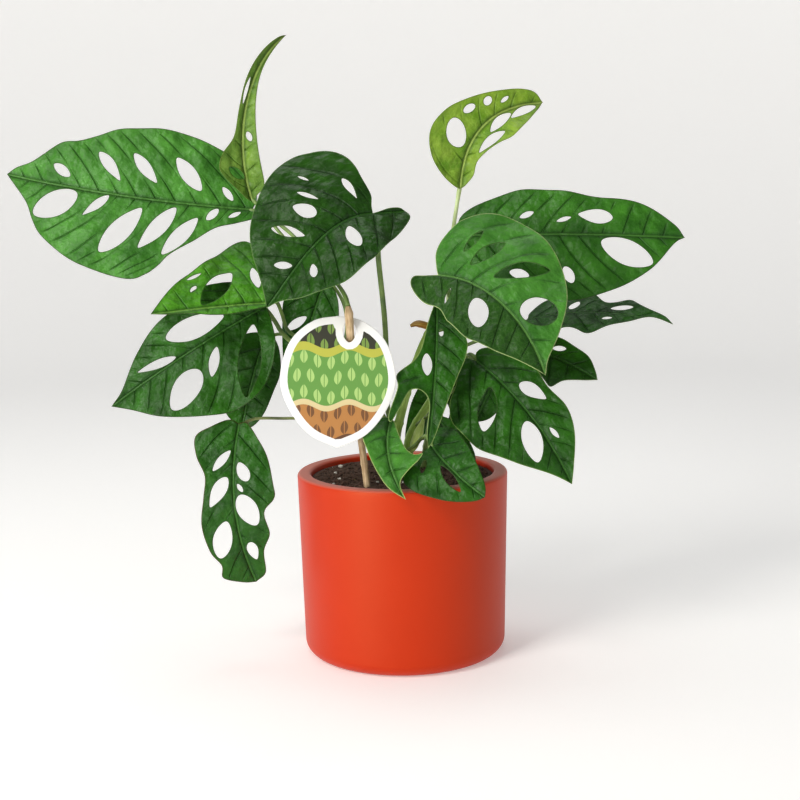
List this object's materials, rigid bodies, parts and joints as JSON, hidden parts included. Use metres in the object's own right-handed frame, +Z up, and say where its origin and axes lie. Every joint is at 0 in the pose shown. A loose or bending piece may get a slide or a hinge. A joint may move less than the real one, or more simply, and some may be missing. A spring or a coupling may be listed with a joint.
{
  "type": "potted monstera adansonii house plant",
  "caption": "Climbing house plant with pointed green leaves full of oval holes, standing in a round red clay pot with a hanging paper plant label.",
  "frame": {"origin": "centre of the flat underside of the pot, on the surface it stands on", "axes": "+Z up along the pot's axis; +X to the right along the plant's widest spread, as seen from the front; +Y away from the viewer"},
  "size_m": [0.4482, 0.1529, 0.4071],
  "materials": {
    "pot_clay": "matte",
    "potting_soil": "matte",
    "woody_vine": "matte",
    "green_vine": "satin",
    "leaf": "satin",
    "young_leaf": "satin",
    "label": "satin"
  },
  "bodies": {
    "root": {"pot": "pot_clay", "soil": "potting_soil", "vine_woody": "woody_vine", "vine_centre": "green_vine", "vine_right": "green_vine", "vine_back_left": "green_vine", "vine_back_right": "green_vine", "leaf_left_upper": "leaf", "leaf_centre_left": "leaf", "leaf_left_tilted": "leaf", "leaf_left_lower": "leaf", "leaf_left_back": "leaf", "leaf_left_hanging": "leaf", "leaf_behind_label": "leaf", "leaf_right_back": "leaf", "leaf_right_front": "leaf", "leaf_right_edge_on": "leaf", "leaf_right_small": "leaf", "leaf_right_lower": "leaf", "leaf_centre": "leaf", "leaf_over_rim": "leaf", "leaf_behind_rim_leaf": "leaf", "leaf_front_small": "leaf", "leaf_low_back": "leaf", "leaf_low_right": "leaf", "leaf_young_upright": "young_leaf", "leaf_young_right": "young_leaf", "label": "label"}
  },
  "joints": []
}
